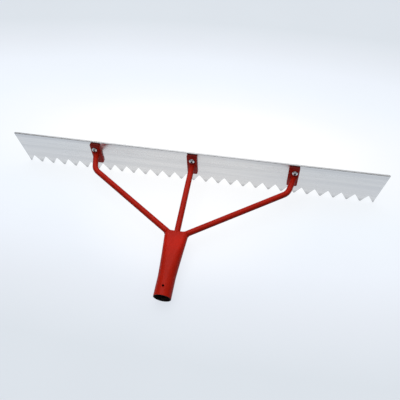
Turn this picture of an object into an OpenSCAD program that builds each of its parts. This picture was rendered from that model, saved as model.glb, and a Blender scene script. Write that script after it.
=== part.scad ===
// Asphalt rake head: a toothed aluminium blade on a welded three-stay steel fork
// with a handle socket.
// +X runs along the blade, -Y points towards the handle, +Z is up.
// The head stands on its tooth tips and on the lower lip of the socket mouth, at Z = 0.
// The origin is under the middle of the whole head.

/* [Blade] */
// Length of the blade along its top edge
blade_len = 900; // [800:10:1000]
// Height of the blade from the tooth tips to the top edge
blade_h = 97.5; // [95:0.5:105]
// Thickness of the blade
blade_t = 5; // [4:0.5:6]
// Number of teeth
tooth_count = 29; // [25:2:33]
// Depth of the notches between the teeth
tooth_depth = 21; // [16:0.5:24]
// How far each end of the blade leans in from the top corner to the last tooth tip
end_slant = 12.5; // [6:0.5:20]
// Width of the small flat on each tooth tip
tip_flat = 3; // [1:0.5:4]
// Width of the small flat at the root of each notch
root_flat = 2; // [1:0.5:4]

/* [Lugs] */
// Distance from the middle lug to an outer lug
lug_pitch = 240.5; // [220:0.5:260]
// Width of a lug plate
lug_w = 24.5; // [24:0.5:30]
// Height of a lug plate
lug_h = 63; // [60:1:64]
// Thickness of a lug plate
lug_t = 5; // [4:0.5:6]
// Gap between the top of a lug and the top edge of the blade
lug_drop = 3.5; // [1:0.5:5]
// Radius of the lug corners
lug_corner = 4; // [2:0.5:6]

/* [Bolts] */
// Shank diameter of the blade bolts
bolt_d = 8; // [7:0.5:8]
// Diameter of the bolt holes
bolt_hole_d = 9; // [8.5:0.1:9]
// Height of the bolts above the tooth tips
bolt_z = 76.5; // [76:0.5:80]
// How far the outer bolts sit outboard of the middle of their lugs
bolt_outset = 2.5; // [0:0.5:3]
// Diameter of the domed bolt head
bolt_head_d = 13; // [12:0.5:14]
// Height of the domed bolt head
bolt_head_h = 4.4; // [4:0.2:5]
// Length of the bolt under its head
bolt_len = 22; // [21:1:25]
// Hexagon socket in the bolt head, across flats
bolt_key = 5; // [4:0.5:5]
// Outer diameter of the washers behind the blade
washer_d = 16; // [15:0.5:20]
// Thickness of the washers
washer_t = 1.6; // [1.2:0.2:2]
// Width of the nuts across flats
nut_af = 13; // [12.5:0.5:14]
// Height of the hexagon part of the nuts
nut_h = 6.4; // [6:0.2:6.6]

/* [Stays] */
// Diameter of the round bar of the stays
stay_d = 13.5; // [12:0.1:13.5]
// How far an outer stay's axis meets the blade face outboard of the middle of its lug
stay_outset = 3.5; // [2:0.5:4]
// Distance from the blade face to the corner of an outer stay
knee_s = 48; // [45:0.5:50]
// How far the corner of an outer stay lies inboard of its foot
knee_in = 12; // [8:0.5:13]
// Bend radius on the centre line of an outer stay
knee_r = 28; // [24:1:32]
// Slope of the fork and the socket towards the ground, in degrees
fork_slope = 7; // [6.6:0.1:7.1]

/* [Handle socket] */
// Outer diameter of the socket tube
socket_d = 38; // [36:0.5:39]
// Wall of the socket tube
socket_wall = 2; // [1.8:0.1:2.2]
// Distance from the blade face to the socket mouth, along the fork
mouth_s = 337.5; // [330:0.5:342]
// Length of the socket tube
socket_len = 152.5; // [150:0.5:155]
// Length of the round part of the tube at the mouth
socket_round = 44; // [40:1:50]
// Width of the tube where it is pressed flat around the stays
socket_flat_w = 54; // [52:0.5:56]
// How far the axis of an outer stay enters inside the edge of the flat end
entry_in = 4.4; // [4:0.1:5]
// Diameter of the screw hole for the handle
screw_hole_d = 5; // [4:0.5:6]
// Distance of the screw hole from the mouth
screw_hole_s = 21.5; // [15:0.5:28]

/* [Welds] */
// Leg of the weld rings between stays and lugs
lug_weld = 3; // [2.5:0.25:3.25]
// Width of the weld beads where the stays enter the socket
socket_weld = 2.1; // [1.5:0.1:2.2]
// Height of the weld beads on the end of the socket
socket_weld_h = 3.5; // [2.5:0.5:4]

/* [Hidden] */
$fn = 64;

red = [0.70, 0.11, 0.08];
zinc = [0.78, 0.79, 0.80];
alu = [0.82, 0.83, 0.84];

pitch = (blade_len - 2 * end_slant) / (tooth_count - 1);
tip_end = (blade_len - 2 * end_slant) / 2;
socket_r = socket_d / 2;
bore_r = socket_r - socket_wall;
stay_r = stay_d / 2;
ring_h = 1.6;
back_y = blade_t + washer_t + nut_h + ring_h;
bolt_end_y = bolt_len - lug_t;

// The fork plane leaves the blade face at fork_z so that the lower lip of the mouth is at Z = 0.
fork_z = mouth_s * sin(fork_slope) + socket_r * cos(fork_slope);
y_front = -(mouth_s * cos(fork_slope) + socket_r * sin(fork_slope));
y_back = max(bolt_end_y, back_y);
y_mid = (y_front + y_back) / 2;

stay_x = lug_pitch + stay_outset;
end_s = mouth_s - socket_len;
// Where the axis of an outer stay crosses the end of the socket, and its angle to the socket axis.
entry_x = socket_flat_w / 2 - entry_in;
knee_x = stay_x - knee_in;
splay = atan2(knee_x - entry_x, end_s - knee_s);
run = sqrt(pow(knee_x - entry_x, 2) + pow(end_s - knee_s, 2));
// Lean of the short leg from the lug to the corner, and its length.
foot_lean = atan2(knee_in, knee_s);
foot_len = sqrt(pow(knee_in, 2) + pow(knee_s, 2));
// Where the axes of the stays meet the faces of the lugs.
foot_s = lug_t / cos(fork_slope);
foot_x = stay_x - foot_s * tan(foot_lean);
foot_z = fork_z - foot_s * sin(fork_slope);
// The outer stays go on inside the socket until they are close to the centre stay.
inner_run = (entry_x - stay_r - stay_r * cos(splay) - 0.6) / sin(splay);
tangent = knee_r * tan((splay - foot_lean) / 2);
function bolt_x(k) = k * (lug_pitch + bolt_outset);
flat_gap = stay_d + 0.3;
flat_h = flat_gap + 2 * socket_wall;

// Places children with the middle of the whole head over the origin.
module placed() { translate([0, -y_mid, 0]) children(); }

// Fork frame: X along the blade, Z along the fork from the blade face to the mouth, Y normal to the fork.
module on_fork() {
    placed() translate([0, 0, fork_z]) rotate([90 + fork_slope, 0, 0]) children();
}

// Frame on an outer stay's straight run: Z along the bar towards the socket, from the corner point.
module on_run(side) {
    translate([side * knee_x, 0, knee_s]) rotate([0, -side * splay, 0]) children();
}

// Frame on the short leg of the right stay: Z along the bar from the blade face to the corner.
module on_foot() {
    translate([stay_x, 0, 0]) rotate([0, -foot_lean, 0]) children();
}

// The half space in front of the lugs, for cutting the stays flush with them.
module ahead_of_lugs() {
    placed() translate([-500, -600, -200]) cube([1000, 600 - lug_t, 500]);
}

module blade_outline() {
    n = tooth_count;
    f = tip_flat / 2;
    g = root_flat / 2;
    teeth = [for (i = [0 : n - 1]) let (x = -tip_end + i * pitch, m = x + pitch / 2) each concat(
        i == 0 ? [[x, 0], [x + f, 0]]
        : i == n - 1 ? [[x - f, 0], [x, 0]]
        : [[x - f, 0], [x + f, 0]],
        i < n - 1 ? [[m - g, tooth_depth], [m + g, tooth_depth]] : [])];
    polygon(concat(teeth, [[blade_len / 2, blade_h], [-blade_len / 2, blade_h]]));
}

module bolt_places() {
    for (k = [-1, 0, 1]) translate([bolt_x(k), 0, bolt_z]) children();
}

module blade() {
    color(alu) placed() difference() {
        translate([0, blade_t, 0]) rotate([90, 0, 0]) linear_extrude(blade_t) blade_outline();
        bolt_places() rotate([-90, 0, 0]) translate([0, 0, -1]) cylinder(d = bolt_hole_d, h = blade_t + 2);
    }
}

module lug_outline() {
    w = lug_w / 2 - lug_corner;
    union() {
        translate([-lug_w / 2, lug_corner]) square([lug_w, lug_h - 2 * lug_corner]);
        translate([-w, 0]) square([2 * w, lug_h]);
        for (x = [-w, w], z = [lug_corner, lug_h - lug_corner]) translate([x, z]) circle(r = lug_corner);
    }
}

module lug(k) {
    color(red) placed() difference() {
        translate([k * lug_pitch, 0, blade_h - lug_drop - lug_h]) rotate([90, 0, 0]) linear_extrude(lug_t) lug_outline();
        translate([bolt_x(k), 1, bolt_z]) rotate([90, 0, 0]) cylinder(d = bolt_hole_d, h = lug_t + 2);
    }
}
module left_lug() { lug(-1); }
module centre_lug() { lug(0); }
module right_lug() { lug(1); }

// Round bar from the lug to the corner, round the bend, and down the straight run into the socket.
module right_stay() {
    color(red) intersection() {
        on_fork() union() {
            on_foot() {
                translate([0, 0, -5]) cylinder(r = stay_r, h = foot_len - tangent + 5);
                translate([-knee_r, 0, foot_len - tangent]) rotate([90, 0, 0])
                    rotate([0, 0, -0.5]) rotate_extrude(angle = splay - foot_lean + 1)
                        translate([knee_r, 0]) circle(r = stay_r - 0.03);
            }
            on_run(1) translate([0, 0, tangent]) cylinder(r = stay_r, h = run + inner_run - tangent);
        }
        ahead_of_lugs();
    }
}
module left_stay() { mirror([1, 0, 0]) right_stay(); }

module centre_stay() {
    color(red) intersection() {
        on_fork() translate([0, 0, -5]) cylinder(r = stay_r, h = end_s + 30 + 5);
        ahead_of_lugs();
    }
}

// Ring of points of the tube's section: two half circles of radius r, set apart by 2 * a.
function ring(a, r, z, n = 24) = [
    for (i = [0 : n]) let (t = -90 + 180 * i / n) [a + r * cos(t), r * sin(t), z],
    for (i = [0 : n]) let (t = 90 + 180 * i / n) [-a + r * cos(t), r * sin(t), z]];
// The tube's width and height where it goes from flat, at u = 0, to round, at u = 1.
function tube_w(u) = socket_d + (socket_flat_w - socket_d) * pow(1 - u, 1.2);
function tube_h(u) = socket_d + (flat_h - socket_d) * pow(1 - u, 1.35);

// Closed skin through equal rings, for the outside or the inside of the pressed part.
module skin(inset, u0, u1, steps, length) {
    m = 50;
    pts = [for (k = [0 : steps]) let (u = u0 + (u1 - u0) * k / steps, v = min(1, max(0, u))) each ring(
        max(0.05, (tube_w(v) - tube_h(v)) / 2), tube_h(v) / 2 - inset, u * length)];
    sides = [for (k = [0 : steps - 1], i = [0 : m - 1]) let (a = k * m + i, b = k * m + (i + 1) % m)
        each [[a, a + m, b], [b, a + m, b + m]]];
    polyhedron(points = pts, faces = concat([[for (i = [0 : m - 1]) i]], sides,
        [[for (i = [m - 1 : -1 : 0]) steps * m + i]]), convexity = 4);
}

module handle_socket() {
    len = socket_len - socket_round;
    color(red) on_fork() difference() {
        union() {
            // pressed part, from the flat end to the round part
            translate([0, 0, end_s]) difference() {
                skin(0.1, 0, 1 + 1 / len, 14, len);
                skin(socket_wall - 0.1, -0.03, 1.03, 16, len);
            }
            // round part with the bore for the handle
            translate([0, 0, end_s + len]) difference() {
                cylinder(r = socket_r, h = socket_round);
                translate([0, 0, -1]) cylinder(r = bore_r, h = socket_round + 2);
            }
        }
        // notches in the corners for the outer stays
        for (side = [-1, 1]) on_run(side) translate([0, 0, run - 40]) cylinder(r = stay_r + 0.1, h = 40 + inner_run + 0.5);
        // screw hole through the upper wall
        translate([0, 0, mouth_s - screw_hole_s]) rotate([-90, 0, 0]) cylinder(d = screw_hole_d, h = 30);
    }
}

// Fillet ring on the face of a lug, before the stay is cut out of it.
module weld_ring(x) {
    placed() translate([x, -lug_t, foot_z]) rotate([90, 0, 0])
        cylinder(r1 = stay_r + lug_weld, r2 = stay_r - 2, h = lug_weld + 2);
}
module centre_lug_weld() {
    color(red) difference() { weld_ring(0); on_fork() cylinder(r = stay_r, h = 40); }
}
module right_lug_weld() {
    color(red) difference() { weld_ring(foot_x); on_fork() on_foot() translate([0, 0, -5]) cylinder(r = stay_r, h = foot_len - tangent + 5); }
}
module left_lug_weld() { mirror([1, 0, 0]) right_lug_weld(); }

// Bead round a stay on the flat end of the socket.
module centre_socket_weld() {
    color(red) on_fork() translate([0, 0, end_s - socket_weld_h]) difference() {
        cylinder(r1 = stay_r + 0.9, r2 = stay_r + socket_weld, h = socket_weld_h);
        translate([0, 0, -1]) cylinder(r = stay_r, h = socket_weld_h + 2);
    }
}

module outer_socket_weld(side) {
    // from clear of the bead of the centre stay to just past the edge of the socket
    near = stay_r + socket_weld + 0.1;
    far = socket_flat_w / 2 + 1;
    color(red) on_fork() intersection() {
        on_run(side) translate([0, 0, run - 40]) difference() {
            cylinder(r = stay_r + socket_weld, h = 80);
            translate([0, 0, -1]) cylinder(r = stay_r, h = 82);
        }
        translate([side > 0 ? near : -far, -20, end_s - socket_weld_h]) cube([far - near, 40, socket_weld_h]);
    }
}
module left_socket_weld() { outer_socket_weld(-1); }
module right_socket_weld() { outer_socket_weld(1); }

// Domed head with a hexagon socket, in front of the lug, and the shank through lug, blade, washer and nut.
module blade_bolts() {
    dome_r = (pow(bolt_head_d / 2, 2) + pow(bolt_head_h - 1, 2)) / (2 * (bolt_head_h - 1));
    color(zinc) placed() bolt_places() translate([0, -lug_t, 0]) rotate([90, 0, 0]) difference() {
        union() {
            translate([0, 0, -bolt_len]) cylinder(d = bolt_d, h = bolt_len + 0.5);
            intersection() {
                cylinder(d = bolt_head_d, h = bolt_head_h);
                translate([0, 0, bolt_head_h - dome_r]) sphere(r = dome_r);
            }
        }
        translate([0, 0, bolt_head_h - 2.6]) cylinder(d = bolt_key / cos(30), h = 4, $fn = 6);
    }
}

module blade_washers() {
    color(zinc) placed() bolt_places() translate([0, blade_t, 0]) rotate([-90, 0, 0]) difference() {
        cylinder(d = washer_d, h = washer_t);
        translate([0, 0, -1]) cylinder(d = bolt_d + 0.4, h = washer_t + 2);
    }
}

// Hexagon nuts with a collar that carries the lock ring.
module blade_nuts() {
    color(zinc) placed() bolt_places() translate([0, blade_t + washer_t, 0]) rotate([-90, 0, 0]) difference() {
        union() {
            intersection() {
                cylinder(d = nut_af / cos(30), h = nut_h, $fn = 6);
                cylinder(r1 = nut_af / 2 + 0.6, r2 = nut_af / 2 + nut_h, h = nut_h);
            }
            cylinder(d = nut_af - 1, h = nut_h + ring_h);
        }
        translate([0, 0, -1]) cylinder(d = bolt_d + 0.1, h = nut_h + 4);
        translate([0, 0, nut_h - 0.8]) cylinder(d = nut_af - 2.4, h = 4);
    }
}

module nut_lock_rings() {
    color([0.25, 0.40, 0.70]) placed() bolt_places() translate([0, blade_t + washer_t + nut_h - 0.8, 0]) rotate([-90, 0, 0]) difference() {
        cylinder(d = nut_af - 2.4, h = ring_h + 0.5);
        translate([0, 0, -1]) cylinder(d = bolt_d + 0.05, h = ring_h + 4);
    }
}

blade();
left_lug();
centre_lug();
right_lug();
left_stay();
centre_stay();
right_stay();
handle_socket();
left_lug_weld();
centre_lug_weld();
right_lug_weld();
left_socket_weld();
centre_socket_weld();
right_socket_weld();
blade_bolts();
blade_washers();
blade_nuts();
nut_lock_rings();
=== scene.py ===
import math

import bmesh
import bpy
from mathutils import Matrix, Vector, noise


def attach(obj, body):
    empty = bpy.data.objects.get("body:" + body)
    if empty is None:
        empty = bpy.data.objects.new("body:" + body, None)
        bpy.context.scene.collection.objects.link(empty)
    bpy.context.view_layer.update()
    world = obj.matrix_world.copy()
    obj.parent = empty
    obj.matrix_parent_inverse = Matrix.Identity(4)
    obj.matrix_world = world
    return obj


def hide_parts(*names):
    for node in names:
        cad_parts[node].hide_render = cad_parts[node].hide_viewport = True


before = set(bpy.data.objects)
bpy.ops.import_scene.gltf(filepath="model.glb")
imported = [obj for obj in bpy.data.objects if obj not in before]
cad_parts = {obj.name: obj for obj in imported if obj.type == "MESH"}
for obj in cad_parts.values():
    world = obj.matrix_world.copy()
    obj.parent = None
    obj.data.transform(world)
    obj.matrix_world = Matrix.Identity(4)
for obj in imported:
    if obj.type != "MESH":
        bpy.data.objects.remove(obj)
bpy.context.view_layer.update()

# ---------------------------------------------------------------- sizes, in millimetres
MM = 0.001
BLADE_LEN, BLADE_H, BLADE_T = 900.0, 97.5, 5.0
TEETH, TOOTH_D, END_SLANT, TIP_FLAT, ROOT_FLAT = 29, 21.0, 12.5, 3.0, 2.0
LUG_PITCH, LUG_W, LUG_H, LUG_T, LUG_DROP, LUG_CORNER = 240.5, 24.5, 63.0, 5.0, 3.5, 4.0
BOLT_D, BOLT_Z, BOLT_OUT, HEAD_D, HEAD_H, BOLT_LEN, BOLT_KEY = 8.0, 76.5, 2.5, 13.0, 4.4, 22.0, 5.0
WASHER_D, WASHER_T, NUT_AF, NUT_H, RING_H = 16.0, 1.6, 13.0, 6.4, 1.6
STAY_R, STAY_OUTSET, KNEE_S, KNEE_IN, KNEE_R, SLOPE = 6.75, 3.5, 48.0, 12.0, 28.0, math.radians(7.0)
SOCK_R, SOCK_WALL, MOUTH_S, SOCK_LEN, SOCK_ROUND, FLAT_W, ENTRY_IN = 19.0, 2.0, 337.5, 152.5, 44.0, 54.0, 4.4
HOLE_D, HOLE_S = 5.0, 21.5
CUT_BACK = 1.8

CB, SB = math.cos(SLOPE), math.sin(SLOPE)
FORK_Z = MOUTH_S * SB + SOCK_R * CB
Y_MID = (-(MOUTH_S * CB + SOCK_R * SB) + BOLT_LEN - LUG_T) / 2
STAY_X = LUG_PITCH + STAY_OUTSET
KNEE_X = STAY_X - KNEE_IN
END_S = MOUTH_S - SOCK_LEN
ENTRY_X = FLAT_W / 2 - ENTRY_IN
SPLAY = math.atan2(KNEE_X - ENTRY_X, END_S - KNEE_S)
RUN = math.hypot(KNEE_X - ENTRY_X, END_S - KNEE_S)
LEAN = math.atan2(KNEE_IN, KNEE_S)
FOOT = math.hypot(KNEE_IN, KNEE_S)
TANGENT = KNEE_R * math.tan((SPLAY - LEAN) / 2)
INNER_RUN = (ENTRY_X - STAY_R - STAY_R * math.cos(SPLAY) - 0.6) / math.sin(SPLAY)
FLAT_H = 2 * STAY_R + 0.3 + 2 * SOCK_WALL
PRESS = SOCK_LEN - SOCK_ROUND


def at_blade(x, y, z):
    """Blade coordinates (front face y = 0, tips z = 0) to the frame, in metres."""
    return Vector((x, y - Y_MID, z)) * MM


def at_fork(x, n, s):
    """Fork coordinates (x across, n up from the fork's plane, s from the blade face to the mouth) to the frame."""
    return Vector((x, -s * CB - n * SB - Y_MID, FORK_Z - s * SB + n * CB)) * MM


def bolt_x(k):
    return k * (LUG_PITCH + BOLT_OUT)


# ---------------------------------------------------------------- mesh helpers
def new_object(name, verts, faces, sharp=35.0, mats=None):
    me = bpy.data.meshes.new(name)
    me.from_pydata([tuple(v) for v in verts], [], faces)
    if mats:
        for p, m in zip(me.polygons, mats):
            p.material_index = m
    bm = bmesh.new()
    bm.from_mesh(me)
    bmesh.ops.remove_doubles(bm, verts=bm.verts, dist=1e-8)
    bmesh.ops.recalc_face_normals(bm, faces=bm.faces)
    bm.to_mesh(me)
    bm.free()
    soften(me, sharp)
    ob = bpy.data.objects.new(name, me)
    bpy.context.scene.collection.objects.link(ob)
    return ob


def soften(me, sharp):
    me.shade_smooth()
    me.set_sharp_from_angle(angle=math.radians(sharp))


def bake_modifiers(ob, sharp=35.0):
    bpy.context.view_layer.update()
    dg = bpy.context.evaluated_depsgraph_get()
    me = bpy.data.meshes.new_from_object(ob.evaluated_get(dg))
    ob.modifiers.clear()
    old = ob.data
    ob.data = me
    bpy.data.meshes.remove(old)
    me.name = ob.name
    soften(me, sharp)


def subtract(ob, cutters, sharp=35.0):
    for c in cutters:
        m = ob.modifiers.new("cut", "BOOLEAN")
        m.operation, m.solver, m.object = "DIFFERENCE", "EXACT", c
    bake_modifiers(ob, sharp)
    for c in cutters:
        bpy.data.objects.remove(c)


def tidy(ob, gap, sharp):
    """Joins corners that a cut left closer than gap, and splits the faces with many sides."""
    bm = bmesh.new()
    bm.from_mesh(ob.data)
    bmesh.ops.remove_doubles(bm, verts=bm.verts, dist=gap * MM)
    bmesh.ops.dissolve_degenerate(bm, edges=bm.edges, dist=gap * MM / 2)
    bmesh.ops.triangulate(bm, faces=[f for f in bm.faces if len(f.verts) > 4])
    bm.to_mesh(ob.data)
    bm.free()
    soften(ob.data, sharp)


def bevel(ob, width, segments=2, angle=30.0, sharp=40.0):
    m = ob.modifiers.new("edge", "BEVEL")
    m.width, m.segments, m.limit_method = width * MM, segments, "ANGLE"
    m.angle_limit = math.radians(angle)
    m.harden_normals = False
    m.miter_outer = "MITER_ARC"
    bake_modifiers(ob, sharp)


def rings_to_mesh(rings, close_u=True, cap_start=False, cap_end=False, close_v=False):
    """Rings of equal length to verts and quads."""
    n = len(rings[0])
    verts = [p for r in rings for p in r]
    faces = []
    last = len(rings) if close_v else len(rings) - 1
    for k in range(last):
        k2 = (k + 1) % len(rings)
        for i in range(n if close_u else n - 1):
            j = (i + 1) % n
            faces.append((k * n + i, k * n + j, k2 * n + j, k2 * n + i))
    if cap_start:
        faces.append(tuple(range(n))[::-1])
    if cap_end:
        faces.append(tuple((len(rings) - 1) * n + i for i in range(n)))
    return verts, faces


def merge(parts):
    """Several (verts, faces) as one."""
    verts, faces = [], []
    for v, f in parts:
        o = len(verts)
        verts += list(v)
        faces += [tuple(i + o for i in q) for q in f]
    return verts, faces


def plate(outline, place, t0, t1):
    """A flat plate: the outline's (x, z) points, swept from depth t0 to t1."""
    n = len(outline)
    verts = [place(x, t0, z) for x, z in outline] + [place(x, t1, z) for x, z in outline]
    faces = [tuple(range(n)), tuple(range(2 * n - 1, n - 1, -1))]
    faces += [(i, n + i, n + (i + 1) % n, (i + 1) % n) for i in range(n)]
    return verts, faces


def inset(outline, c):
    """The closed outline moved inwards by c, for an outline that runs anticlockwise in (x, z)."""
    n = len(outline)
    out = []
    for i in range(n):
        (ax, az), (bx, bz), (cx, cz) = outline[i - 1], outline[i], outline[(i + 1) % n]
        u = Vector((bx - ax, bz - az)).normalized()
        v = Vector((cx - bx, cz - bz)).normalized()
        nu, nv = Vector((-u.y, u.x)), Vector((-v.y, v.x))
        m = (nu + nv) / (1.0 + nu.dot(nv))
        out.append((bx + c * m.x, bz + c * m.y))
    return out


def deburred_plate(outline, place, t0, t1, c):
    """A flat plate whose edges are broken by a small chamfer c on both faces."""
    inner = inset(outline, c)
    rings = [[place(x, t, z) for x, z in pts] for pts, t in ((inner, t0), (outline, t0 + c), (outline, t1 - c), (inner, t1))]
    return rings_to_mesh(rings, cap_start=True, cap_end=True)


def rod_between(name, a, b, r0, r1=None, seg=64):
    """A plain round cutter from a to b."""
    r1 = r0 if r1 is None else r1
    d = (b - a).normalized()
    e1 = d.orthogonal().normalized()
    e2 = d.cross(e1)
    rings = [[p + (e1 * math.cos(t) + e2 * math.sin(t)) * r * MM
              for t in (2 * math.pi * i / seg for i in range(seg))] for p, r in ((a, r0), (b, r1))]
    return new_object(name, *rings_to_mesh(rings, cap_start=True, cap_end=True))


def wobble(p, scale, seed):
    return noise.noise(Vector(p) * scale + Vector((seed * 7.31, seed * 3.17, seed * 1.73)))


# ---------------------------------------------------------------- materials
def clear_tree(name):
    mat = bpy.data.materials.new(name)
    mat.use_nodes = True
    nt = mat.node_tree
    nt.nodes.clear()
    out = nt.nodes.new("ShaderNodeOutputMaterial")
    bsdf = nt.nodes.new("ShaderNodeBsdfPrincipled")
    nt.links.new(bsdf.outputs[0], out.inputs[0])
    return mat, nt, bsdf


class Tree:
    """Small helpers for building a node tree."""

    def __init__(self, nt):
        self.nt = nt
        self.coord = nt.nodes.new("ShaderNodeTexCoord").outputs["Object"]

    def link(self, a, b):
        self.nt.links.new(a, b)

    def node(self, kind, **props):
        n = self.nt.nodes.new(kind)
        for k, v in props.items():
            setattr(n, k, v)
        return n

    def mapped(self, scale, rotation=(0, 0, 0), location=(0, 0, 0)):
        m = self.node("ShaderNodeMapping")
        m.inputs["Scale"].default_value = scale
        m.inputs["Rotation"].default_value = rotation
        m.inputs["Location"].default_value = location
        self.link(self.coord, m.inputs["Vector"])
        return m.outputs[0]

    def noise(self, scale, detail=4.0, rough=0.55, vector=None, distortion=0.0):
        n = self.node("ShaderNodeTexNoise")
        n.inputs["Scale"].default_value = scale
        n.inputs["Detail"].default_value = detail
        n.inputs["Roughness"].default_value = rough
        n.inputs["Distortion"].default_value = distortion
        self.link(vector if vector is not None else self.coord, n.inputs["Vector"])
        return n.outputs[0]

    def spread(self, value, lo, hi, to_lo=0.0, to_hi=1.0, smooth=True):
        m = self.node("ShaderNodeMapRange", interpolation_type="SMOOTHSTEP" if smooth else "LINEAR")
        m.inputs["From Min"].default_value = lo
        m.inputs["From Max"].default_value = hi
        m.inputs["To Min"].default_value = to_lo
        m.inputs["To Max"].default_value = to_hi
        self.link(value, m.inputs["Value"])
        return m.outputs[0]

    def math(self, op, a, b=None):
        m = self.node("ShaderNodeMath", operation=op)
        for i, v in enumerate((a, b)):
            if v is None:
                continue
            if isinstance(v, (int, float)):
                m.inputs[i].default_value = v
            else:
                self.link(v, m.inputs[i])
        return m.outputs[0]

    def mix(self, fac, a, b, blend="MIX"):
        m = self.node("ShaderNodeMix", data_type="RGBA", blend_type=blend)
        if isinstance(fac, (int, float)):
            m.inputs["Factor"].default_value = fac
        else:
            self.link(fac, m.inputs["Factor"])
        for key, v in (("A", a), ("B", b)):
            socket = [s for s in m.inputs if s.name == key and s.type == "RGBA"][0]
            if isinstance(v, tuple):
                socket.default_value = (*v, 1.0)
            else:
                self.link(v, socket)
        return [s for s in m.outputs if s.type == "RGBA"][0]

    def bump(self, height, strength, distance, normal=None):
        b = self.node("ShaderNodeBump")
        b.inputs["Strength"].default_value = strength
        b.inputs["Distance"].default_value = distance
        self.link(height, b.inputs["Height"])
        if normal is not None:
            self.link(normal, b.inputs["Normal"])
        return b.outputs[0]

    def normal_axis(self, axis):
        g = self.node("ShaderNodeNewGeometry")
        s = self.node("ShaderNodeSeparateXYZ")
        self.link(g.outputs["Normal"], s.inputs[0])
        return s.outputs[axis]


def red_paint(name, lug_light_and_shade):
    mat, nt, bsdf = clear_tree(name)
    t = Tree(nt)
    broad = t.noise(26.0, 3.0)
    fine = t.noise(420.0, 3.0)
    specks = t.noise(1500.0, 2.0, 0.6)
    # the lug copy gets brighter tones: painted light standing in for bounce light on the lug faces
    tones = ((0.480, 0.0110, 0.0024), (0.535, 0.0140, 0.0036)) if lug_light_and_shade else ((0.385, 0.0092, 0.0018), (0.430, 0.0118, 0.0028))
    base = t.mix(t.spread(broad, 0.35, 0.65), *tones)
    base = t.mix(t.math("MULTIPLY", t.spread(fine, 0.5, 0.8), 0.22), base, (0.330, 0.0070, 0.0016))
    dust = t.math("MULTIPLY", t.spread(t.normal_axis("Z"), 0.2, 1.0), t.spread(specks, 0.62, 0.78))
    base = t.mix(t.math("MULTIPLY", dust, 0.08), base, (0.46, 0.12, 0.09))
    dark = (0.060, 0.0035, 0.0022)
    if lug_light_and_shade:
        # painted shade: the lug faces that look upwards are darkened
        base = t.mix(t.spread(t.normal_axis("Z"), 0.55, 0.95, 0.0, 0.70), base, dark)
        # painted shade: a dark ring round each bolt head, where the head shades the lug
        at = t.node("ShaderNodeSeparateXYZ")
        t.link(t.coord, at.inputs[0])
        side = t.math("ABSOLUTE", at.outputs["X"])
        dx = t.math("MINIMUM", side, t.math("ABSOLUTE", t.math("SUBTRACT", side, bolt_x(1) * MM)))
        dz = t.math("SUBTRACT", at.outputs["Z"], BOLT_Z * MM)
        away = t.math("SQRT", t.math("ADD", t.math("MULTIPLY", dx, dx), t.math("MULTIPLY", dz, dz)))
        base = t.mix(t.spread(away, 0.0064, 0.0092, 0.75, 0.0), base, dark)
        # painted shade: the upper end is darkened
        base = t.mix(t.spread(at.outputs["Z"], 0.0855, 0.0935, 0.0, 0.50), base, dark)
        # painted light: the lower end, clear of the bolt, is brightened in place of bounce light from the floor
        base = t.mix(t.spread(at.outputs["Z"], 0.062, 0.046, 0.0, 0.9), base, (0.70, 0.050, 0.038))
    else:
        # painted light: the pressed end of the tube is brightened and warmed
        at = t.node("ShaderNodeSeparateXYZ")
        t.link(t.coord, at.inputs[0])
        pressed_end_painted_light = t.math("MULTIPLY", t.spread(at.outputs["Y"], -0.098, -0.054), t.spread(at.outputs["Y"], -0.048, -0.018, 1.0, 0.0))
        base = t.mix(pressed_end_painted_light, base, (1.22, 1.0, 0.80), "MULTIPLY")
        # painted shade: corners round the welds are darkened by ambient occlusion
        occlusion_shade = t.node("ShaderNodeAmbientOcclusion", samples=8)
        occlusion_shade.inputs["Distance"].default_value = 0.005
        base = t.mix(t.spread(occlusion_shade.outputs["AO"], 0.35, 0.85, 0.55, 0.0), base, dark)
    t.link(base, bsdf.inputs["Base Color"])
    rough = t.math("ADD", t.spread(broad, 0.3, 0.7, 0.30, 0.40), t.math("MULTIPLY", fine, 0.08))
    t.link(rough, bsdf.inputs["Roughness"])
    peel = t.noise(620.0, 2.0, 0.5)
    runs = t.noise(90.0, 2.0, 0.5)
    nrm = t.bump(peel, 0.10, 0.0004)
    nrm = t.bump(runs, 0.10, 0.0012, nrm)
    t.link(nrm, bsdf.inputs["Normal"])
    bsdf.inputs["Specular IOR Level"].default_value = 0.085
    return mat


def dark_steel():
    mat, nt, bsdf = clear_tree("socket_inside")
    t = Tree(nt)
    scale = t.noise(160.0, 5.0, 0.65)
    base = t.mix(t.spread(scale, 0.35, 0.7), (0.010, 0.008, 0.008), (0.030, 0.020, 0.016))
    t.link(base, bsdf.inputs["Base Color"])
    t.link(t.spread(scale, 0.3, 0.7, 0.55, 0.8), bsdf.inputs["Roughness"])
    t.link(t.bump(scale, 0.25, 0.0006), bsdf.inputs["Normal"])
    bsdf.inputs["Metallic"].default_value = 0.6
    return mat


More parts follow.
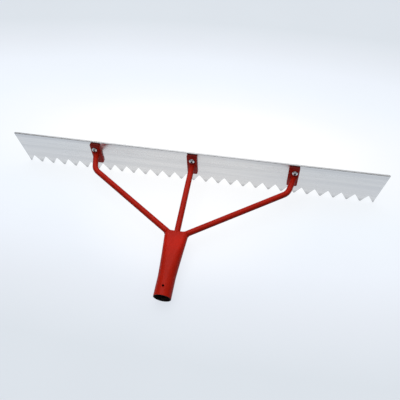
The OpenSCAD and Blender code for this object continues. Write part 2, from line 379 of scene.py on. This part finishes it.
def blade_metal():
    mat, nt, bsdf = clear_tree("blade_aluminium")
    t = Tree(nt)
    lines = t.noise(1.0, 4.0, 0.6, t.mapped((3.0, 40.0, 420.0)))
    bands = t.noise(1.0, 3.0, 0.5, t.mapped((1.6, 10.0, 62.0)))
    cloud = t.noise(9.0, 4.0, 0.6)
    smudge = t.noise(1.0, 5.0, 0.62, t.mapped((16.0, 40.0, 60.0)))
    base = t.mix(t.spread(bands, 0.34, 0.68), (0.560, 0.564, 0.572), (0.672, 0.670, 0.667))
    base = t.mix(t.math("MULTIPLY", t.spread(lines, 0.45, 0.75), 0.22), base, (0.49, 0.495, 0.50))
    base = t.mix(t.math("MULTIPLY", t.spread(cloud, 0.45, 0.75), 0.18), base, (0.600, 0.620, 0.650))
    base = t.mix(t.math("MULTIPLY", t.spread(smudge, 0.60, 0.82), 0.16), base, (0.48, 0.475, 0.47))
    # cut faces: the teeth flanks and the long edges are duller than the rolled faces
    ny = t.math("ABSOLUTE", t.normal_axis("Y"))
    cut = t.spread(ny, 0.75, 0.35)
    saw = t.noise(1.0, 3.0, 0.6, t.mapped((260.0, 1500.0, 60.0)))
    base = t.mix(t.math("MULTIPLY", cut, 0.85), base, (0.56, 0.565, 0.575))
    # painted reflection: the lower half is brightened like the bright floor it mirrors
    at = t.node("ShaderNodeSeparateXYZ")
    t.link(t.coord, at.inputs[0])
    base = t.mix(t.spread(at.outputs["Z"], 0.066, 0.046, 0.0, 0.32), base, (0.72, 0.72, 0.725))
    # painted reflection: the tips of the teeth are darkened like the shaded floor they mirror
    tip = t.math("ADD", at.outputs["Z"], t.math("MULTIPLY", t.math("SUBTRACT", smudge, 0.5), 0.010))
    base = t.mix(t.spread(tip, 0.0, 0.013, 0.55, 0.0), base, (0.30, 0.30, 0.305))
    t.link(base, bsdf.inputs["Base Color"])
    rough = t.math("ADD", t.spread(bands, 0.3, 0.7, 0.19, 0.27), t.math("MULTIPLY", t.spread(smudge, 0.5, 0.8), 0.08))
    rough = t.math("ADD", rough, t.math("MULTIPLY", cut, 0.26))
    t.link(rough, bsdf.inputs["Roughness"])
    nrm = t.bump(lines, 0.10, 0.0004)
    nrm = t.bump(t.math("MULTIPLY", saw, cut), 0.20, 0.0005, nrm)
    t.link(nrm, bsdf.inputs["Normal"])
    bsdf.inputs["Metallic"].default_value = 1.0
    # rolled along its length, so reflections smear up and down
    grain = t.node("ShaderNodeTangent", direction_type="RADIAL", axis="X")
    t.link(grain.outputs[0], bsdf.inputs["Tangent"])
    bsdf.inputs["Anisotropic"].default_value = 0.55
    return mat


def zinc():
    mat, nt, bsdf = clear_tree("zinc_steel")
    t = Tree(nt)
    spangle = t.noise(260.0, 4.0, 0.6)
    tint = t.noise(120.0, 2.0, 0.5)
    base = t.mix(t.spread(spangle, 0.35, 0.7), (0.55, 0.56, 0.58), (0.68, 0.685, 0.695))
    base = t.mix(t.math("MULTIPLY", t.spread(tint, 0.45, 0.7), 0.30), base, (0.60, 0.585, 0.52))
    t.link(base, bsdf.inputs["Base Color"])
    t.link(t.spread(spangle, 0.3, 0.7, 0.34, 0.48), bsdf.inputs["Roughness"])
    t.link(t.bump(spangle, 0.12, 0.0003), bsdf.inputs["Normal"])
    bsdf.inputs["Metallic"].default_value = 1.0
    return mat


# painted shade: a dark material for the bolts' key recesses
def recess():
    mat, nt, bsdf = clear_tree("bolt_recess_shade")
    t = Tree(nt)
    n = t.noise(500.0, 4.0, 0.6)
    base = t.mix(t.spread(n, 0.35, 0.7), (0.055, 0.058, 0.070), (0.095, 0.100, 0.118))
    t.link(base, bsdf.inputs["Base Color"])
    t.link(t.spread(n, 0.3, 0.7, 0.40, 0.60), bsdf.inputs["Roughness"])
    t.link(t.bump(n, 0.15, 0.0003), bsdf.inputs["Normal"])
    bsdf.inputs["Metallic"].default_value = 0.7
    return mat


def nylon():
    mat, nt, bsdf = clear_tree("lock_ring")
    t = Tree(nt)
    n = t.noise(700.0, 3.0, 0.6)
    base = t.mix(t.spread(n, 0.35, 0.65), (0.055, 0.13, 0.36), (0.085, 0.18, 0.45))
    t.link(base, bsdf.inputs["Base Color"])
    t.link(t.spread(n, 0.3, 0.7, 0.42, 0.55), bsdf.inputs["Roughness"])
    t.link(t.bump(n, 0.1, 0.0002), bsdf.inputs["Normal"])
    return mat


# the lug copy of the red paint carries painted light and painted shade
RED, RED_LUG_LIT_SHADED = red_paint("red_paint", False), red_paint("red_paint_lug_lit_shaded", True)
DARK, ALU, ZINC, RECESS_SHADE, NYLON = dark_steel(), blade_metal(), zinc(), recess(), nylon()


def dress(ob, node, slot, *mats):
    for m in mats[len(ob.data.materials):]:
        ob.data.materials.append(m)
    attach(ob, "root")
    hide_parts(node)
    return ob


# ---------------------------------------------------------------- blade
def blade_outline():
    half = (BLADE_LEN - 2 * END_SLANT) / 2
    pitch = 2 * half / (TEETH - 1)
    f, g = TIP_FLAT / 2, ROOT_FLAT / 2
    pts = []
    for i in range(TEETH):
        x = -half + i * pitch
        m = x + pitch / 2
        if i == 0:
            pts += [(x, 0), (x + f, 0)]
        elif i == TEETH - 1:
            pts += [(x - f, 0), (x, 0)]
        else:
            pts += [(x - f, 0), (x + f, 0)]
        if i < TEETH - 1:
            # the root of the notch is slightly rounded
            pts += [(m - g - 0.25, TOOTH_D - 0.45), (m - g + 0.35, TOOTH_D), (m + g - 0.35, TOOTH_D), (m + g + 0.25, TOOTH_D - 0.45)]
    for sx in (1, -1):
        cx, cz, r = sx * (BLADE_LEN / 2 - 1.2), BLADE_H - 1.2, 1.2
        arc = [(cx + sx * r * math.cos(a), cz + r * math.sin(a)) for a in (math.radians(d) for d in (0, 30, 60, 90))]
        pts += arc if sx > 0 else arc[::-1]
    return pts


blade = new_object("blade_toothed", *deburred_plate(blade_outline(), at_blade, 0.0, BLADE_T, 0.7), sharp=20.0)
subtract(blade, [rod_between("c", at_blade(bolt_x(k), -2, BOLT_Z), at_blade(bolt_x(k), BLADE_T + 2, BOLT_Z), 4.5)
                 for k in (-1, 0, 1)], 20.0)
dress(blade, "blade", "blade_aluminium", ALU)


# ---------------------------------------------------------------- lugs
def lug_outline(x0):
    pts = []
    z0 = BLADE_H - LUG_DROP - LUG_H
    w, c = LUG_W / 2 - LUG_CORNER, LUG_CORNER
    for cx, cz, a0 in ((-w, z0 + c, 180), (w, z0 + c, 270), (w, z0 + LUG_H - c, 0), (-w, z0 + LUG_H - c, 90)):
        for k in range(9):
            a = math.radians(a0 + 90 * k / 8)
            pts.append((x0 + cx + c * math.cos(a), cz + c * math.sin(a)))
    return pts


for k, side in ((-1, "left"), (0, "centre"), (1, "right")):
    lug = new_object(side + "_lug_plate", *plate(lug_outline(k * LUG_PITCH), at_blade, -LUG_T, 0.0))
    subtract(lug, [rod_between("c", at_blade(bolt_x(k), -LUG_T - 2, BOLT_Z), at_blade(bolt_x(k), 2, BOLT_Z), 4.5)])
    bevel(lug, 0.7, 3, 30.0, 18.0)
    dress(lug, side + "_lug", "red_paint", RED_LUG_LIT_SHADED)


# ---------------------------------------------------------------- stays
SEG = 48


def stay_path(side):
    """Centre line of an outer stay in (x, s), with its heading, from the lug to its end inside the socket."""
    pts = []
    d0 = (-math.sin(LEAN), math.cos(LEAN))
    for k in range(8):
        q = 2.0 + (FOOT - TANGENT - 2.0) * k / 7
        pts.append((STAY_X + d0[0] * q, d0[1] * q, LEAN))
    px, ps = STAY_X + d0[0] * (FOOT - TANGENT), d0[1] * (FOOT - TANGENT)
    cx, cs = px - KNEE_R * math.cos(LEAN), ps - KNEE_R * math.sin(LEAN)
    for k in range(1, 25):
        a = LEAN + (SPLAY - LEAN) * k / 24
        pts.append((cx + KNEE_R * math.cos(a), cs + KNEE_R * math.sin(a), a))
    total = RUN + INNER_RUN - TANGENT
    bx, bs = pts[-1][0], pts[-1][1]
    for k in range(1, 41):
        q = total * k / 40
        pts.append((bx - math.sin(SPLAY) * q, bs + math.cos(SPLAY) * q, SPLAY))
    return [(side * x, s, side * a) for x, s, a in pts]


def centre_path():
    return [(0.0, 2.0 + (END_S + 28.0) * k / 60, 0.0) for k in range(61)]


def bar_ring(x, s, heading, r):
    """Points of the bar's section at a point of its centre line, in fork coordinates."""
    ring = []
    for i in range(SEG):
        t = 2 * math.pi * i / SEG
        c, n = r * math.cos(t), r * math.sin(t)
        ring.append((x + c * math.cos(heading), n, s + c * math.sin(heading)))
    return ring


def stay_mesh(path, seed):
    rings = []
    for k, (x, s, a) in enumerate(path):
        ring = bar_ring(x, s, a, STAY_R)
        if k == 0:
            # cut flush with the lug's face
            cut = []
            for (px, n, ps) in ring:
                want = (LUG_T - n * SB) / CB
                q = (want - ps) / math.cos(a)
                cut.append((px - math.sin(a) * q, n, ps + math.cos(a) * q))
            ring = cut
        out = []
        for (px, n, ps) in ring:
            grow = 1.0 + 0.004 * wobble((px * 0.05, n * 0.08, ps * 0.05), 1.0, seed)
            out.append(at_fork(x + (px - x) * grow, n * grow, s + (ps - s) * grow) if k else at_fork(px, n, ps))
        rings.append(out)
    # small chamfer at the inner end
    x, s, a = path[-1]
    tip = [(x - math.sin(a) * 0.8, s + math.cos(a) * 0.8)]
    rings.append([at_fork(*p) for p in bar_ring(tip[0][0], tip[0][1], a, STAY_R - 0.8)])
    return rings_to_mesh(rings, cap_start=True, cap_end=True)


for side, name, path in ((-1, "left", stay_path(-1)), (0, "centre", centre_path()), (1, "right", stay_path(1))):
    bar = new_object(name + "_stay_bar", *stay_mesh(path, 3 + side))
    dress(bar, name + "_stay", "red_paint", RED)


# ---------------------------------------------------------------- handle socket
def ease(u, power):
    return max(0.0, 1.0 - u) ** power


def section(s):
    """Half the straight width and the radius of the tube's outer section at s."""
    u = min(1.0, max(0.0, (s - END_S) / PRESS))
    w = 2 * SOCK_R + (FLAT_W - 2 * SOCK_R) * ease(u, 1.2)
    h = 2 * SOCK_R + (FLAT_H - 2 * SOCK_R) * ease(u, 1.35)
    return (w - h) / 2, h / 2


def trim(s, n):
    """The mouth is cut a little off square: its upper lip is set back."""
    u = min(1.0, max(0.0, (s - MOUTH_S + 24.0) / 24.0))
    return CUT_BACK * u * u * (n + SOCK_R) / (2 * SOCK_R)


def tube_ring(s, inset, n=112):
    a, r = section(s)
    r -= inset
    ring = []
    for i in range(n):
        # even steps along the outline
        length = 4 * a + 2 * math.pi * r
        d = (i / n) * length
        if d < math.pi * r / 2:
            t = d / r
            p = (a + r * math.cos(t), r * math.sin(t))
        elif d < math.pi * r / 2 + 2 * a:
            p = (a - (d - math.pi * r / 2), r)
        elif d < 3 * math.pi * r / 2 + 2 * a:
            t = math.pi / 2 + (d - math.pi * r / 2 - 2 * a) / r
            p = (-a + r * math.cos(t), r * math.sin(t))
        elif d < 3 * math.pi * r / 2 + 4 * a:
            p = (-a + (d - 3 * math.pi * r / 2 - 2 * a), -r)
        else:
            t = 3 * math.pi / 2 + (d - 3 * math.pi * r / 2 - 4 * a) / r
            p = (a + r * math.cos(t), r * math.sin(t))
        ring.append((p[0], p[1], s - trim(s, p[1])))
    return ring


def socket_mesh():
    rings, mats = [], []
    lip = 0.45

    def add(s, inset, m):
        rings.append([at_fork(*p) for p in tube_ring(s, inset)])
        mats.append(m)

    add(END_S, lip, 0)
    add(END_S + lip * 0.3, lip * 0.3, 0)
    add(END_S + lip, 0.0, 0)
    for k in range(1, 60):
        add(END_S + lip + (SOCK_LEN - 2 * lip) * k / 60, 0.0, 0)
    add(MOUTH_S - lip, 0.0, 0)
    add(MOUTH_S - lip * 0.3, lip * 0.3, 0)
    add(MOUTH_S, lip, 1)
    add(MOUTH_S, SOCK_WALL - lip, 1)
    add(MOUTH_S - lip, SOCK_WALL, 1)
    for k in range(1, 40):
        add(MOUTH_S - lip - (SOCK_LEN - 2 * lip) * k / 40, SOCK_WALL, 1)
    add(END_S + lip, SOCK_WALL, 1)
    add(END_S, SOCK_WALL - lip, 0)
    verts, faces = rings_to_mesh(rings, close_v=True)
    n = len(rings[0])
    return verts, faces, [mats[i // n] for i in range(len(faces))]


v, f, m = socket_mesh()
socket = new_object("handle_socket_tube", v, f, 40.0, m)
socket.data.materials.append(RED)
socket.data.materials.append(DARK)
cutters = []
for side in (-1, 1):
    a = at_fork(side * (ENTRY_X + 40 * math.sin(SPLAY)), 0, END_S - 40 * math.cos(SPLAY))
    b = at_fork(side * (ENTRY_X - INNER_RUN * math.sin(SPLAY)), 0, END_S + INNER_RUN * math.cos(SPLAY))
    cutters.append(rod_between("c", a, b, STAY_R - 0.05))
hs = MOUTH_S - HOLE_S
cutters.append(rod_between("c", at_fork(0, 8, hs), at_fork(0, 26, hs), HOLE_D / 2, seg=40))
cutters.append(rod_between("c", at_fork(0, SOCK_R - 0.55, hs), at_fork(0, SOCK_R + 0.6, hs), HOLE_D / 2 - 0.2, HOLE_D / 2 + 0.95, seg=40))
for c in cutters:
    c.data.materials.append(RED)
    c.data.materials.append(DARK)
for c in cutters[2:3]:
    for p in c.data.polygons:
        p.material_index = 1
subtract(socket, cutters, 38.0)
tidy(socket, 0.03, 38.0)
dress(socket, "handle_socket", "red_paint", RED, DARK)


# ---------------------------------------------------------------- welds
def lug_weld(path, seed):
    """Fillet of weld metal round a stay on its lug, with the ripple of a hand-run bead."""
    x, s, a = path[0]
    n_round, n_prof = 120, 9
    phase = seed * 1.7
    rings = []
    for i in range(n_round):
        t = 2 * math.pi * i / n_round
        c, n = STAY_R * math.cos(t), STAY_R * math.sin(t)
        ripple = abs(math.sin(8.5 * t + phase)) ** 0.7
        size = 2.5 + 0.40 * ripple + 0.4 * wobble((math.cos(t), math.sin(t), 0.0), 1.3, seed)
        px, ps = x + c * math.cos(a), s + c * math.sin(a)
        want = (LUG_T - n * SB) / CB
        q = (want - ps) / math.cos(a)
        base = Vector((px - math.sin(a) * q, n, ps + math.cos(a) * q))
        out = Vector((math.cos(t) * math.cos(a), math.sin(t), math.cos(t) * math.sin(a)))
        up = Vector((-math.sin(a), 0.0, math.cos(a)))
        # keep the toe on the lug's face
        flat = Vector((0.0, SB, CB))
        side_dir = (out - flat * out.dot(flat)).normalized()
        prof = []
        for k in range(n_prof):
            w = math.pi / 2 * k / (n_prof - 1)
            bulge = 1.0 + 0.10 * math.sin(2 * w) * (0.5 + ripple)
            across, along = size * (1 - math.sin(w)), size * (1 - math.cos(w))
            mix = 0.55
            across = mix * across + (1 - mix) * size * (1 - k / (n_prof - 1))
            along = mix * along + (1 - mix) * size * k / (n_prof - 1)
            prof.append(at_fork(*(base + side_dir * across * bulge + up * along * bulge)))
        prof.append(at_fork(*(base - out * 0.6 + up * size)))
        prof.append(at_fork(*(base - out * 0.6 - up * 0.25)))
        prof.append(at_fork(*(base + side_dir * size - up * 0.25)))
        rings.append(prof)
    return rings_to_mesh(rings, close_v=True)


def inside_tube(p):
    x, n, s = p
    if s < END_S:
        return False
    a, r = section(s)
    dx = max(abs(x) - a, 0.0)
    return dx * dx + n * n <= r * r


def entry_curve(side, count=160):
    """Where the surface of a stay meets the outside of the socket, in fork coordinates."""
    if side == 0:
        heading, x0, s0 = 0.0, 0.0, END_S - 30.0
    else:
        heading = side * SPLAY
        x0, s0 = side * (ENTRY_X + 40 * math.sin(SPLAY)), END_S - 40 * math.cos(SPLAY)
    d = Vector((-math.sin(heading), 0.0, math.cos(heading)))
    pts = []
    for i in range(count):
        t = 2 * math.pi * i / count
        p = Vector((x0 + STAY_R * math.cos(t) * math.cos(heading), STAY_R * math.sin(t), s0 + STAY_R * math.cos(t) * math.sin(heading)))
        lo, hi = 0.0, 90.0
        step = 0.25
        q = 0.0
        while q < hi and not inside_tube(p + d * q):
            q += step
        lo, up = max(0.0, q - step), q
        for _ in range(20):
            mid = (lo + up) / 2
            if inside_tube(p + d * mid):
                up = mid
            else:
                lo = mid
        pts.append(p + d * up)
    return pts


def bead(curve, radius, seed):
    """A rippled weld bead along a closed curve, in fork coordinates."""
    n = len(curve)
    smooth = []
    for i in range(n):
        acc = Vector((0, 0, 0))
        for k, w in ((-2, 1), (-1, 2), (0, 3), (1, 2), (2, 1)):
            acc += curve[(i + k) % n] * w
        smooth.append(acc / 9.0)
    run, total = [0.0], 0.0
    for i in range(n):
        total += (smooth[(i + 1) % n] - smooth[i]).length
        run.append(total)
    count = max(8, round(total / 2.3))
    rings = []
    middle = sum(smooth, Vector((0, 0, 0))) / n
    for i in range(n):
        tan = (smooth[(i + 1) % n] - smooth[i - 1]).normalized()
        ref = (smooth[i] - middle).normalized()
        e1 = (ref - tan * ref.dot(tan)).normalized()
        e2 = tan.cross(e1)
        ph = (run[i] / total * count) % 1.0
        r = radius * (0.88 + 0.20 * (1 - ph) * min(1.0, ph * 6) + 0.10 * wobble(smooth[i], 0.35, seed))
        rings.append([at_fork(*(smooth[i] + (e1 * math.cos(t) + e2 * math.sin(t)) * r))
                      for t in (2 * math.pi * j / 14 for j in range(14))])
    return rings_to_mesh(rings, close_v=True)


for side, name, path in ((-1, "left", stay_path(-1)), (0, "centre", centre_path()), (1, "right", stay_path(1))):
    w = new_object(name + "_lug_weld_bead", *lug_weld(path, 11 + side), sharp=60.0)
    dress(w, name + "_lug_weld", "red_paint", RED)
    w = new_object(name + "_socket_weld_bead", *bead(entry_curve(side), 1.7, 21 + side), sharp=60.0)
    dress(w, name + "_socket_weld", "red_paint", RED)


# ---------------------------------------------------------------- bolts, washers, nuts
def lathe(profile, k, radius=None, seg=72):
    """Rings (radius, depth) about a bolt's axis; depth is the blade's y. radius(t, r, y) can bend a ring's outline."""
    rings = []
    for r, y in profile:
        ring = []
        for i in range(seg):
            t = 2 * math.pi * i / seg
            q = radius(t, r, y) if radius else r
            ring.append(at_blade(bolt_x(k) + q * math.cos(t), y, BOLT_Z + q * math.sin(t)))
        rings.append(ring)
    return rings


def hexagon(t, flats, turn):
    """Radius of a hexagon of that size across flats, in direction t."""
    a = (t - turn) % (math.pi / 3) - math.pi / 6
    return flats / 2 / math.cos(a)


TURN = {-1: 0.22, 0: 0.55, 1: 0.12}


def bolt_mesh(k):
    dome = HEAD_H - 1.0
    big = ((HEAD_D / 2) ** 2 + dome ** 2) / (2 * dome)
    face = -LUG_T

    def dome_y(r):
        return face - (HEAD_H - big + math.sqrt(max(0.0, big * big - r * r)))

    prof = [(3.95, face), (HEAD_D / 2 - 0.35, face), (HEAD_D / 2 - 0.08, face - 0.15), (HEAD_D / 2, face - 0.5)]
    for j in range(13):
        r = HEAD_D / 2 - (HEAD_D / 2 - 3.35) * j / 12
        prof.append((r, min(face - 0.8, dome_y(r))))
    rings = lathe(prof, k)
    top = dome_y(3.0)

    def hex_ring(scale, y):
        return lathe([(1.0, y)], k, lambda t, r, yy: hexagon(t, BOLT_KEY * scale, TURN[k]))[0]

    rings.append(hex_ring(1.06, top + 0.05))
    rings.append(hex_ring(1.0, top + 0.25))
    rings.append(hex_ring(1.0, top + 2.5))
    rings += lathe([(1.8, top + 2.6), (0.3, top + 3.1)], k)
    head = rings_to_mesh(rings, cap_end=True)
    # shank, plain under the head and threaded at the end
    shank = []
    y = face
    end = BOLT_LEN - LUG_T
    start = BLADE_T + WASHER_T
    shank += lathe([(3.95, face), (3.95, start - 1.0)], k)
    steps = 88
    for j in range(steps + 1):
        yy = start - 1.0 + (end - start + 1.0) * j / steps

        def thread(t, r, y0, yy=yy):
            ph = (yy / 1.25 - t / (2 * math.pi)) % 1.0
            depth = 0.62 * abs(2 * ph - 1)
            fade = min(1.0, (end - yy) / 1.1)
            return min(3.98 - depth, 3.1 + 0.9 * fade)
        shank += lathe([(1.0, yy)], k, thread)
    shank += lathe([(2.2, end + 0.0), (0.2, end)], k)
    body = rings_to_mesh(shank, cap_end=True)
    return merge([head, body])


def washer_mesh(k):
    y0, y1, ro, ri, c = BLADE_T, BLADE_T + WASHER_T, WASHER_D / 2, 4.2, 0.22
    prof = [(ri, y0 + c), (ri + c, y0), (ro - c, y0), (ro, y0 + c), (ro, y1 - 0.4), (ro - 0.4, y1), (ri + c, y1), (ri, y1 - c)]
    return rings_to_mesh(lathe(prof, k), close_v=True)


def nut_mesh(k):
    y0 = BLADE_T + WASHER_T
    turn = TURN[k] + 0.3
    collar = NUT_AF / 2 - 0.5

    def outline(t, r, y):
        # hexagon cut by the chamfer cones at both ends
        cone = NUT_AF / 2 + 0.15 + min(y - y0, y0 + NUT_H - y) * 1.75
        return min(hexagon(t, NUT_AF, turn), cone)

    rings = lathe([(4.05, y0), (5.4, y0)], k, seg=120)
    for y in (0.0, 0.12, 0.25, 0.38, 0.5, 0.65, 3.2, NUT_H - 0.65, NUT_H - 0.5, NUT_H - 0.38, NUT_H - 0.25, NUT_H - 0.12, NUT_H):
        rings += lathe([(1.0, y0 + y)], k, outline, seg=120)
    top = y0 + NUT_H
    rings += lathe([(collar, top), (collar, top + 0.9), (collar - 0.12, top + 1.3), (collar - 0.45, top + RING_H - 0.05),
                    (collar - 0.75, top + RING_H), (collar - 0.85, top + RING_H - 0.25), (collar - 0.85, top - 0.8), (4.05, top - 0.8)], k, seg=120)
    return rings_to_mesh(rings, close_v=True)


def ring_mesh(k):
    y0 = BLADE_T + WASHER_T + NUT_H - 0.75
    y1 = y0 + RING_H + 0.45
    ro, ri = NUT_AF / 2 - 1.37, 3.95
    prof = [(ri, y0), (ro, y0), (ro, y1 - 0.2), (ro - 0.2, y1), (ri + 0.45, y1), (ri, y1 - 0.5)]
    return rings_to_mesh(lathe(prof, k), close_v=True)


for name, node, slot, mat, maker in (
        ("blade_bolt_set", "blade_bolts", "zinc_steel", ZINC, bolt_mesh),
        ("blade_washer_set", "blade_washers", "zinc_steel", ZINC, washer_mesh),
        ("blade_nut_set", "blade_nuts", "zinc_steel", ZINC, nut_mesh),
        ("nut_lock_ring_set", "nut_lock_rings", "lock_ring", NYLON, ring_mesh)):
    made = [maker(k) for k in (-1, 0, 1)]
    # the key recess of a bolt head starts after its 17 outer rings; it takes the painted shade material
    marks = [1 if maker is bolt_mesh and 17 * 72 <= i <= 21 * 72 else 0 for v, f in made for i in range(len(f))]
    ob = new_object(name, *merge(made), sharp=32.0, mats=marks)
    dress(ob, node, slot, *((mat, RECESS_SHADE) if maker is bolt_mesh else (mat,)))


# ---------------------------------------------------------------- floor, light, camera
def floor_material():
    mat, nt, bsdf = clear_tree("floor")
    t = Tree(nt)
    n = t.noise(3.0, 3.0)
    tone = t.mix(t.spread(n, 0.3, 0.7), (0.125, 0.132, 0.140), (0.135, 0.142, 0.150))
    t.link(tone, bsdf.inputs["Base Color"])
    bsdf.inputs["Roughness"].default_value = 0.8
    bsdf.inputs["Specular IOR Level"].default_value = 0.1
    # a soft pool of light behind the blade, falling off to a cool grey
    reach = t.node("ShaderNodeVectorMath", operation="LENGTH")
    t.link(t.mapped((0.35, 1.0, 1.0), location=(0.0, -0.29, 0.0)), reach.inputs[0])
    ramp = t.node("ShaderNodeValToRGB")
    stops = ((0.0, (0.95, 0.94, 0.94)), (0.11, (0.91, 0.905, 0.905)), (0.18, (0.825, 0.850, 0.882)), (0.26, (0.775, 0.820, 0.875)),
             (0.36, (0.745, 0.785, 0.852)), (0.46, (0.680, 0.715, 0.772)), (0.58, (0.610, 0.652, 0.700)), (0.9, (0.610, 0.650, 0.700)))
    for k, (at, colour) in enumerate(stops):
        e = ramp.color_ramp.elements[k] if k < 2 else ramp.color_ramp.elements.new(at)
        e.position, e.color = at, (*colour, 1.0)
    t.link(reach.outputs["Value"], ramp.inputs[0])
    near = t.node("ShaderNodeVectorMath", operation="LENGTH")
    t.link(t.mapped((0.75, 1.0, 1.0), location=(0.0, -0.09, 0.0)), near.inputs[0])
    glow = t.mix(t.spread(near.outputs["Value"], 0.03, 0.26, 0.85, 0.0), ramp.outputs[0], (0.91, 0.91, 0.915))
    t.link(glow, bsdf.inputs["Emission Color"])
    bsdf.inputs["Emission Strength"].default_value = 1.0
    return mat


half = 6.0
floor = new_object("floor", [(-half, -half, 0), (half, -half, 0), (half, half, 0), (-half, half, 0)], [(0, 1, 2, 3)])
floor.data.materials.append(floor_material())
floor.visible_diffuse = False


def area(name, place, aim, size, watts, colour=(1, 1, 1)):
    lamp = bpy.data.lights.new(name, "AREA")
    lamp.shape = "RECTANGLE"
    lamp.size, lamp.size_y = size
    lamp.energy = watts
    lamp.color = colour
    ob = bpy.data.objects.new(name, lamp)
    ob.location = place
    ob.rotation_euler = (Vector(aim) - Vector(place)).to_track_quat("-Z", "Y").to_euler()
    bpy.context.scene.collection.objects.link(ob)
    return ob


area("key", (-0.30, 0.02, 2.1), (0.0, 0.0, 0.0), (2.2, 2.0), 29.5, (1.0, 0.99, 0.98))
area("back", (0.0, 2.25, 2.8), (0.0, 0.16, 0.1), (8.0, 1.6), 62.0, (0.98, 0.99, 1.0))

world = bpy.data.worlds.new("studio")
world.use_nodes = True
wt = world.node_tree
bg = wt.nodes["Background"]
where = wt.nodes.new("ShaderNodeTexCoord")
split = wt.nodes.new("ShaderNodeSeparateXYZ")
wt.links.new(where.outputs["Generated"], split.inputs[0])
rise = wt.nodes.new("ShaderNodeMapRange")
rise.interpolation_type = "SMOOTHSTEP"
rise.inputs["From Min"].default_value = -0.15
rise.inputs["From Max"].default_value = 0.75
rise.inputs["To Min"].default_value = 0.09
rise.inputs["To Max"].default_value = 0.22
wt.links.new(split.outputs["Z"], rise.inputs["Value"])
wt.links.new(rise.outputs[0], bg.inputs["Strength"])
bg.inputs["Color"].default_value = (0.93, 0.96, 1.0, 1.0)
scene = bpy.context.scene
scene.world = world
scene.view_settings.view_transform = "Standard"
scene.view_settings.look = "None"

cam = bpy.data.cameras.new("camera")
cam.sensor_fit = "HORIZONTAL"
cam.sensor_width = 36.0
cam.lens = 40.636
cam.clip_start, cam.clip_end = 0.01, 50.0
cam_ob = bpy.data.objects.new("camera", cam)
cam_ob.location = (0.1742, -0.5500, 0.8729)
cam_ob.rotation_euler = (0.6524, 0.0292, 0.1831)
scene.collection.objects.link(cam_ob)
scene.camera = cam_ob
